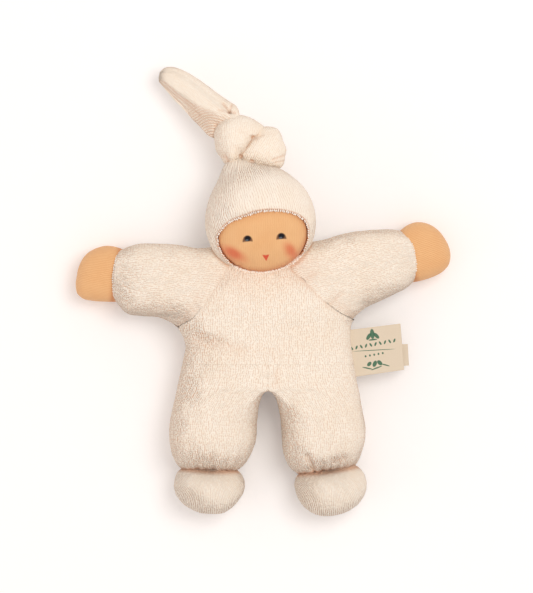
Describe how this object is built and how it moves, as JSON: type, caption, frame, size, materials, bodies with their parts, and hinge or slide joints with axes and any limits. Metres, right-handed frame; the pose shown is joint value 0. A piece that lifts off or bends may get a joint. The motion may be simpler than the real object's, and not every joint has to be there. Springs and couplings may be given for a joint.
{
  "type": "waldorf doll",
  "caption": "Soft cloth baby doll in a terry suit with a knotted terry cap, jersey face and hands, lying on its back; head, arms, legs, cap tail and labels move.",
  "frame": {"origin": "on the flat of the doll's back, under the middle of the body; the doll lies on it", "axes": "+Y towards the head, +Z out of the front, +X to the doll's left side"},
  "size_m": [0.186, 0.2242, 0.0538],
  "materials": {
    "terry": "cream micro terry with fine ribs, matt and nubby",
    "jersey": "skin-coloured cotton jersey, fine knit, matt",
    "wool": "loose carded wool",
    "gauze": "white tubular gauze",
    "thread": "strong linen thread",
    "dark_paint": "dark brown fabric paint with a slight gloss",
    "red_paint": "red fabric paint",
    "ribbon": "cream woven label ribbon"
  },
  "bodies": {
    "torso": {"torso_front": "terry", "torso_back": "terry", "torso_filling": "wool"},
    "neck": {"neck_core": "wool", "neck_tie": "thread"},
    "head": {"head_core": "wool", "head_lining": "gauze", "head_skin": "jersey", "eye_left": "dark_paint", "eye_right": "dark_paint", "mouth": "red_paint", "cap": "terry", "cap_knot": "terry"},
    "tail": {"cap_tail": "terry"},
    "arm_left": {"sleeve_left": "terry", "arm_filling_left": "wool", "hand_left": "jersey", "hand_filling_left": "wool", "wrist_tie_left": "thread"},
    "arm_right": {"sleeve_right": "terry", "arm_filling_right": "wool", "hand_right": "jersey", "hand_filling_right": "wool", "wrist_tie_right": "thread"},
    "leg_left": {"leg_left": "terry", "leg_filling_left": "wool", "foot_left": "terry", "foot_filling_left": "wool", "ankle_tie_left": "thread"},
    "leg_right": {"leg_right": "terry", "leg_filling_right": "wool", "foot_right": "terry", "foot_filling_right": "wool", "ankle_tie_right": "thread"},
    "labels": {"label": "ribbon", "care_label": "ribbon"}
  },
  "joints": [
    {"name": "head_turn", "type": "hinge", "parent": "torso", "child": "neck", "pos_m": [-0.0036, 0.05895, 0.02705], "axis": [0, 0.9659, 0.2588], "range_deg": [-60, 60], "stiffness_Nm_per_rad": 0.02},
    {"name": "head_nod", "type": "hinge", "parent": "neck", "child": "head", "pos_m": [-0.0036, 0.05895, 0.02705], "axis": [1, 0, 0], "range_deg": [-15, 30], "stiffness_Nm_per_rad": 0.04},
    {"name": "tail_fold", "type": "hinge", "parent": "head", "child": "tail", "pos_m": [-0.02019, 0.11117, 0.02305], "axis": [0.454, 0.891, 0], "range_deg": [0, 90], "stiffness_Nm_per_rad": 0.004},
    {"name": "arm_left_lift", "type": "hinge", "parent": "torso", "child": "arm_left", "pos_m": [0.0272, 0.0222, 0.033], "axis": [0.7155, -0.6986, 0], "range_deg": [0, 75], "stiffness_Nm_per_rad": 0.01},
    {"name": "arm_right_lift", "type": "hinge", "parent": "torso", "child": "arm_right", "pos_m": [-0.0304, 0.0222, 0.033], "axis": [0.6627, 0.7489, 0], "range_deg": [0, 75], "stiffness_Nm_per_rad": 0.01},
    {"name": "leg_left_lift", "type": "hinge", "parent": "torso", "child": "leg_left", "pos_m": [0.0225, -0.02, 0.041], "axis": [-1, 0, 0], "range_deg": [0, 90], "stiffness_Nm_per_rad": 0.01},
    {"name": "leg_right_lift", "type": "hinge", "parent": "torso", "child": "leg_right", "pos_m": [-0.0225, -0.02, 0.041], "axis": [-1, 0, 0], "range_deg": [0, 90], "stiffness_Nm_per_rad": 0.01},
    {"name": "label_fold", "type": "hinge", "parent": "torso", "child": "labels", "pos_m": [0.0437, -0.00495, 0.0205], "axis": [0.113, -0.9925, -0.0457], "range_deg": [-30, 60], "stiffness_Nm_per_rad": 0.001}
  ]
}
